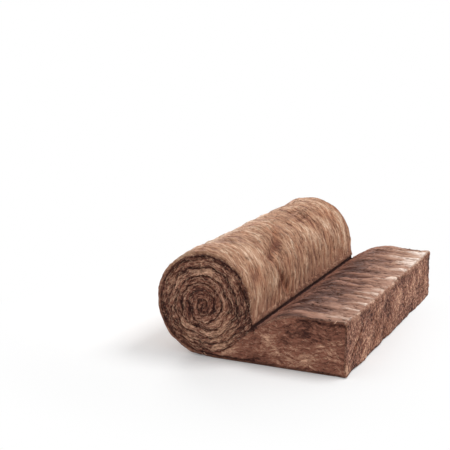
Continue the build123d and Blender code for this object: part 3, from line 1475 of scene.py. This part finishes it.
FIBRES = (
    FibreLayer(
        "roll_fibres", Zone.ROLL, locks=10600, length=0.055, width=0.0032, thickness=0.0009,
        tilt=0.01, lift=0.5, curve=2.2, sway=0.9, stations=LONG_LOCK, seed=3,
    ),
    FibreLayer(
        "batt_fibres", Zone.BATT, locks=1600, length=0.050, width=0.0040, thickness=0.0007,
        tilt=0.0, lift=0.3, curve=0.6, sway=0.9, stations=LONG_LOCK, seed=4,
    ),
    FibreLayer(
        "cut_fibres", Zone.CUT, locks=15800, length=0.016, width=0.0017, thickness=0.0011,
        tilt=0.08, lift=1.0, curve=0.0, sway=1.2, stations=SHORT_LOCK, seed=5,
    ),
    FibreLayer(
        "end_fibres", Zone.END, locks=16000, length=0.026, width=0.0016, thickness=0.0014,
        tilt=0.05, lift=1.0, curve=0.0, sway=1.8, stations=SHORT_LOCK, seed=6,
    ),
)


@dataclass(frozen=True)
class Shades:
    """The colours of one face of the wool, in its hollows, between and on its crests."""

    dark: Triple
    middle: Triple
    light: Triple


@dataclass(frozen=True)
class Gloss:
    """How one kind of wool shines: its sheen at grazing angles and its plain gloss."""

    sheen: float
    specular: float


@dataclass(frozen=True)
class WoolFinish:
    """The wool's colours and gloss, shared by its matted body and its loose fibres.

    A weight is how much of a mark comes into the tone, satin numbers are what the ripples
    of the batt's inner face change, and a scale is how many waves go in a metre. Clouds
    are as strong as clouding says, for all wool, its skin and its crumbs. The bump's
    distance is in metres.
    """

    skin: Shades = Shades((0.155, 0.057, 0.033), (0.41, 0.211, 0.118), (0.75, 0.505, 0.33))
    # The batt's inner face, whose pale greyish light shade is a painted sheen
    satin_skin: Shades = Shades((0.165, 0.074, 0.050), (0.42, 0.252, 0.178), (0.84, 0.73, 0.655))
    edge: Shades = Shades((0.045, 0.013, 0.010), (0.295, 0.118, 0.077), (0.82, 0.51, 0.345))
    warm: Shades = Shades((0.13, 0.036, 0.018), (0.40, 0.165, 0.085), (0.68, 0.42, 0.27))
    sheen_tint: tuple[float, ...] = (1.0, 0.86, 0.76, 1.0)
    sheen_roughness: float = 0.5
    felted: Gloss = Gloss(sheen=0.08, specular=0.18)
    woolly: Gloss = Gloss(sheen=0.10, specular=0.15)
    satin: Gloss = Gloss(sheen=0.15, specular=0.28)
    streak_edge: float = 0.32
    skin_lift: float = 0.4
    crumb_ease: Ease = Ease(0.34, 0.66, low=-1.0)
    crevice_ease: Ease = Ease(0.00, 0.09, low=1.0, high=0.0)
    patch_ease: Ease = Ease(0.48, 0.66, high=0.6)
    cloud_scale: float = 9.0
    clouding: Triple = (0.4, 0.1, 1.9)
    patch_scale: float = 7.0
    mark_weight: float = 0.34
    crevice_weight: float = -0.40
    satin_crevice: float = -0.55
    satin_warmth: float = 0.7
    pressed_warmth: float = 0.6
    crumb_warmth: float = 0.8
    felt_roughness: Ease = Ease(0.3, 0.7, low=0.77, high=0.95)
    fibre_roughness: Ease = Ease(0.0, 1.0, low=0.65, high=0.90)
    satin_felt: float = -0.28
    satin_fibre: float = -0.2
    streak_bump: float = 1.5
    bump_strength: float = 0.8
    bump_distance: float = 0.002
    usual_tone: float = 0.45
    tone_spread: float = 0.8
    tip_ease: Ease = Ease(0.0, 1.0, low=-0.08, high=0.12)

    def tone_group(self) -> Tree:
        """Write the group that colours wool by its face, relief and place.

        Returns:
            The shader group.
        """
        inputs = {
            "Place": "Vector",
            "Combed": "Vector",
            "Skin": 1.0,
            "Relief": 0.5,
            "Tone": 0.5,
            "Streaks": 1.0,
            "Crumbs": 0.0,
            "Folds": 0.0,
            "Pressed": 0.0,
            "Speckle": 0.7,
            "Ripples": 0.0,
        }
        write, get = NodeWriter.group("wool_tone", "Shader", inputs)
        darkest = write.math("MULTIPLY_ADD", get["Skin"], self.skin_lift, -1.0)
        edge = self.streak_edge
        streak = write.ramp(write.drawn(get["Combed"], STREAKS), -edge, edge, darkest, 1.0)
        crumb = write.noise(write.vector("SCALE", get["Place"], 1.0 / CRUMBS.across), CRUMBS.detail)
        crumb = write.eased(crumb, self.crumb_ease)
        # Painted shade in the crevices of the folds
        fold = write.math("ABSOLUTE", write.drawn(get["Combed"], FOLDS))
        softened = write.math("MULTIPLY_ADD", get["Ripples"], self.satin_crevice, 1.0)
        crevice = write.product(write.eased(fold, self.crevice_ease), get["Folds"], softened)
        clouds = write.noise(write.vector("SCALE", get["Place"], self.cloud_scale), 3.0)
        marks = write.blend(get["Crumbs"], write.product(streak, get["Streaks"]), crumb)
        even, skinned, torn = self.clouding
        torn = write.product(get["Crumbs"], get["Crumbs"], torn)
        clouded = write.total(even, write.product(get["Skin"], skinned), torn)
        level = write.total(
            get["Relief"],
            write.product(marks, self.mark_weight),
            write.product(crevice, self.crevice_weight),
            write.product(write.math("SUBTRACT", clouds, 0.5), clouded),
            write.product(write.math("SUBTRACT", get["Tone"], 0.5), get["Speckle"]),
        )

        def family(shades: Shades) -> Socket:
            """Run from a face's dark shade over its middle to its light one."""
            dark, middle, light = ((*shade, 1.0) for shade in (shades.dark, shades.middle, shades.light))
            lower = write.mix(write.ramp(level, 0.0, 0.5, 0.0, 1.0), dark, middle)
            return write.mix(write.ramp(level, 0.5, 1.0, 0.0, 1.0), lower, light)

        skin = write.mix(get["Ripples"], family(self.skin), family(self.satin_skin))
        base = write.mix(get["Skin"], family(self.edge), skin)
        patches = write.noise(write.vector("SCALE", get["Place"], self.patch_scale), 2.0)
        pressed = write.product(get["Pressed"], self.pressed_warmth)
        warmth = write.total(write.eased(patches, self.patch_ease), pressed)
        coloured = write.math("MAXIMUM", get["Skin"], write.product(get["Crumbs"], self.crumb_warmth))
        plain = write.math("SUBTRACT", 1.0, write.product(get["Ripples"], self.satin_warmth))
        warmth = write.product(warmth, coloured, plain)
        return write.close("Color", "Color", write.mix(warmth, base, family(self.warm)))

    @staticmethod
    def grain_group() -> Tree:
        """Write the group for the finest fibres, drawn out along the grain.

        Returns:
            The shader group.
        """
        write, get = NodeWriter.group("fibre_grain", "Shader", {"Combed": "Vector"})
        strands = write.math("MULTIPLY_ADD", write.drawn(get["Combed"], STRANDS), 0.5, 0.5)
        return write.close("Strands", "Float", strands)

    @staticmethod
    def toned(write: NodeWriter, group: Tree, tone: Feed, relief: Feed) -> Socket:
        """Add the tone group to a material.

        Args:
            write: The material's writer.
            group: The tone group.
            tone: The wool's own tone.
            relief: How raised it is.

        Returns:
            The colour's socket.
        """
        names = ("Skin", "Streaks", "Crumbs", "Folds", "Pressed", "Speckle", "Ripples")
        feeds = {name: write.painted(name.lower()) for name in names}
        feeds |= {
            "Place": write.node("ShaderNodeTexCoord", {}).outputs["Object"],
            "Combed": write.painted("combed", "Vector"),
            "Relief": relief,
            "Tone": tone,
        }
        return write.node("ShaderNodeGroup", feeds, node_tree=group).outputs["Color"]

    def start(self, name: str, gloss: Gloss) -> tuple[Material, NodeWriter, Node]:
        """Start a material.

        Args:
            name: The material's name.
            gloss: How it shines.

        Returns:
            The material, its writer and its Principled node.
        """
        material = bpy.data.materials.new(name)
        material.use_nodes = True
        write = NodeWriter(material.node_tree)
        feeds = {
            "Sheen Roughness": self.sheen_roughness,
            "Sheen Tint": self.sheen_tint,
            "Sheen Weight": gloss.sheen,
            "Specular IOR Level": gloss.specular,
        }
        return material, write, write.wire(material.node_tree.nodes["Principled BSDF"], feeds)

    def matted(self, tone: Tree) -> Material:
        """Make the material of the body's matted surface.

        Args:
            tone: The tone group.

        Returns:
            The material.
        """
        material, write, shader = self.start("matted_mineral_wool", self.felted)
        combed = write.painted("combed", "Vector")
        grain = write.node("ShaderNodeGroup", {"Combed": combed}, node_tree=self.grain_group())
        fine = grain.outputs["Strands"]
        streak = write.product(write.drawn(combed, STREAKS), write.painted("streaks"))
        height = write.total(fine, write.product(streak, self.streak_bump))
        feeds = {"Height": height, "Strength": self.bump_strength, "Distance": self.bump_distance}
        bump = write.node("ShaderNodeBump", feeds)
        rough = write.eased(fine, self.felt_roughness)
        rough = write.math("MULTIPLY_ADD", write.painted("ripples"), self.satin_felt, rough)
        colour = self.toned(write, tone, fine, write.painted("relief"))
        write.wire(shader, {"Base Color": colour, "Normal": bump.outputs[0], "Roughness": rough})
        return material

    def loose(self, name: str, gloss: Gloss, tone: Tree) -> Material:
        """Make a material for loose fibres, paler towards their tips: painted light on the raised tips and
        painted shade at their roots.

        Args:
            name: The material's name.
            gloss: How it shines.
            tone: The tone group.

        Returns:
            The material.
        """
        material, write, shader = self.start(name, gloss)
        own = write.painted("tone")
        apart = write.math("SUBTRACT", own, self.usual_tone)
        own_tone = write.math("MULTIPLY_ADD", apart, self.tone_spread, 0.5)
        relief = write.total(write.painted("relief"), write.eased(write.painted("along"), self.tip_ease))
        colour = self.toned(write, tone, own_tone, relief)
        rough = write.eased(own, self.fibre_roughness)
        rough = write.math("MULTIPLY_ADD", write.painted("ripples"), self.satin_fibre, rough)
        write.wire(shader, {"Base Color": colour, "Roughness": rough})
        return material


@dataclass(frozen=True)
class Lamp:
    """A square soft lamp, with its side in metres and its power in watts."""

    name: str
    at: Triple
    side: float
    power: float

    def hang(self, target: Triple) -> None:
        """Hang the lamp, so that it faces the target.

        Args:
            target: The place that it faces.
        """
        light = bpy.data.lights.new(self.name, "AREA")
        light.size = self.side
        light.energy = self.power
        lamp = bpy.data.objects.new(self.name, light)
        lamp.location = self.at
        lamp.rotation_euler = (Vector(target) - Vector(self.at)).to_track_quat("-Z", "Y").to_euler()
        bpy.context.scene.collection.objects.link(lamp)


@dataclass
class Studio:
    """A pale floor, soft light from above and behind, and the photograph's camera.

    Sizes are in metres and angles in degrees. The floor turns white in the camera's eye
    at a distance from floor_middle.
    """

    focal: float = 88.05
    sensor: float = 36.0
    heading: float = 24.79
    elevation: float = 12.807
    eye: Triple = (1.613, -4.309, 1.470)
    target: Triple = (0.0, 0.0, 0.2)
    lamps: tuple[Lamp, ...] = (
        Lamp("key", at=(1.2, 0.2, 2.9), side=1.3, power=53.0),
        Lamp("rim", at=(-2.2, 1.9, 1.2), side=1.4, power=62.0),
    )
    even_light: float = 0.65
    floor_size: float = 30.0
    floor_drop: float = -0.0005
    floor_middle: Triple = (-0.18, -0.30, 0.0)
    floor_colour: tuple[float, ...] = (0.88, 0.88, 0.88, 1.0)
    whitening: Ease = Ease(0.45, 1.18, low=0.15)

    def floor(self) -> None:
        """Lay the floor, which keeps the shadow and fades into white."""
        size, drop = self.floor_size, self.floor_drop
        corners = [(-size, -size, drop), (size, -size, drop), (size, size, drop), (-size, size, drop)]
        mesh = bpy.data.meshes.new("floor")
        mesh.from_pydata(corners, [], [(0, 1, 2, 3)])
        material = bpy.data.materials.new("pale_floor")
        material.use_nodes = True
        nodes = material.node_tree.nodes
        nodes.remove(nodes["Principled BSDF"])
        write = NodeWriter(material.node_tree)
        spot = write.node("ShaderNodeTexCoord", {}).outputs["Object"]
        arm = write.vector("SUBTRACT", spot, self.floor_middle)
        distance = write.node("ShaderNodeVectorMath", {0: arm}, operation="LENGTH").outputs["Value"]
        ray = write.node("ShaderNodeLightPath", {})
        seen = write.product(ray.outputs["Is Camera Ray"], write.eased(distance, self.whitening))
        matte = write.node("ShaderNodeBsdfDiffuse", {"Color": self.floor_colour}).outputs[0]
        white = write.node("ShaderNodeEmission", {"Color": WHITE, "Strength": 1.0}).outputs[0]
        mixed = write.node("ShaderNodeMixShader", {0: seen, 1: matte, 2: white}).outputs[0]
        write.wire(nodes["Material Output"], {"Surface": mixed})
        mesh.materials.append(material)
        place("floor", mesh)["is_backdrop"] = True

    def world(self) -> None:
        """Fill the room with even light, and show it white."""
        world = bpy.data.worlds.new("studio")
        world.use_nodes = True
        write = NodeWriter(world.node_tree)
        ray = write.node("ShaderNodeLightPath", {})
        seen = write.math("MAXIMUM", ray.outputs["Is Camera Ray"], ray.outputs["Is Glossy Ray"])
        feeds = {"Value": seen, "To Min": self.even_light, "To Max": 1.0}
        level = write.node("ShaderNodeMapRange", feeds).outputs["Result"]
        write.wire(world.node_tree.nodes["Background"], {"Strength": level, "Color": WHITE})
        bpy.context.scene.world = world

    def camera(self) -> None:
        """Stand the camera where the photograph was taken."""
        turn, rise = math.radians(self.heading), math.radians(self.elevation)
        back = Vector((math.sin(turn) * math.cos(rise), -math.cos(turn) * math.cos(rise), math.sin(rise)))
        data = bpy.data.cameras.new("camera")
        data.sensor_width = self.sensor
        data.lens = self.focal
        camera = bpy.data.objects.new("camera", data)
        camera.location = self.eye
        camera.rotation_mode = "QUATERNION"
        camera.rotation_quaternion = (-back).to_track_quat("-Z", "Y")
        bpy.context.scene.collection.objects.link(camera)
        bpy.context.scene.camera = camera

    def build(self) -> None:
        """Set up the whole studio."""
        self.floor()
        self.world()
        for lamp in self.lamps:
            lamp.hang(self.target)
        self.camera()
        bpy.context.scene.view_settings.view_transform = "Standard"


def keep(piece: Object) -> None:
    """Tie a piece to the part and report it.

    Args:
        piece: The finished piece.
    """
    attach(piece, "root")
    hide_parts(NODE)
    piece.data.calc_loop_triangles()
    LOG.info("%s: %d triangles", piece.name, len(piece.data.loop_triangles))


def main() -> None:
    """Load the frame, then build the wool and its studio."""
    logging.basicConfig(level=logging.INFO, format="%(message)s")
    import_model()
    low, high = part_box(NODE)
    finish = WoolFinish()
    tone = finish.tone_group()
    matted = finish.matted(tone)
    woolly = finish.loose("loose_mineral_wool", finish.woolly, tone)
    satin = finish.loose("combed_mineral_wool", finish.satin, tone)
    section = WoolSection(height=high[Z] - low[Z], left=low[X], right=high[X])
    body = WoolBody(section, low[Y], high[Y]).build(matted)
    keep(body)
    for layer in FIBRES:
        keep(layer.build(body, satin if layer.zone is Zone.BATT else woolly))
    Studio().build()
    low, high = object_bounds()


if __name__ == "__main__":
    main()
